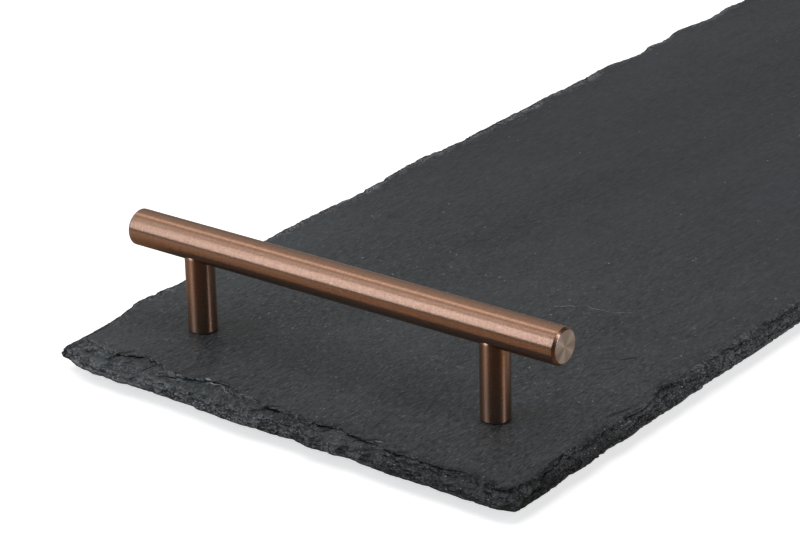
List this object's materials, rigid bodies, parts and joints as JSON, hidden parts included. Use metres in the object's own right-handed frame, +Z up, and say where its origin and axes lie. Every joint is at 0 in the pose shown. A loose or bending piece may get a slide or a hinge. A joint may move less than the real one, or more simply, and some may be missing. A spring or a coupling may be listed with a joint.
{
  "type": "slate serving board",
  "caption": "Long narrow slate serving board with hand-broken edges, a copper-coloured bar handle across each end and rubber feet beneath.",
  "frame": {"origin": "on the table, under the middle of the board", "axes": "+Z up, +Y along the board from the front handle to the rear one, +X across it"},
  "size_m": [0.152, 0.6, 0.039],
  "materials": {
    "slate": "riven, matt",
    "handle_metal": "copper-plated, satin brushed",
    "stud_steel": "plain steel, oiled",
    "zinc_steel": "bright zinc plated",
    "foot_rubber": "matt"
  },
  "bodies": {
    "root": {"slate_slab": "slate", "front_handle_bar": "handle_metal", "rear_handle_bar": "handle_metal", "front_left_post": "handle_metal", "front_right_post": "handle_metal", "rear_left_post": "handle_metal", "rear_right_post": "handle_metal", "front_left_joining_stud": "stud_steel", "front_right_joining_stud": "stud_steel", "rear_left_joining_stud": "stud_steel", "rear_right_joining_stud": "stud_steel", "front_left_slate_screw": "zinc_steel", "front_right_slate_screw": "zinc_steel", "rear_left_slate_screw": "zinc_steel", "rear_right_slate_screw": "zinc_steel", "front_left_washer": "zinc_steel", "front_right_washer": "zinc_steel", "rear_left_washer": "zinc_steel", "rear_right_washer": "zinc_steel", "front_left_foot": "foot_rubber", "front_right_foot": "foot_rubber", "rear_left_foot": "foot_rubber", "rear_right_foot": "foot_rubber"}
  },
  "joints": []
}
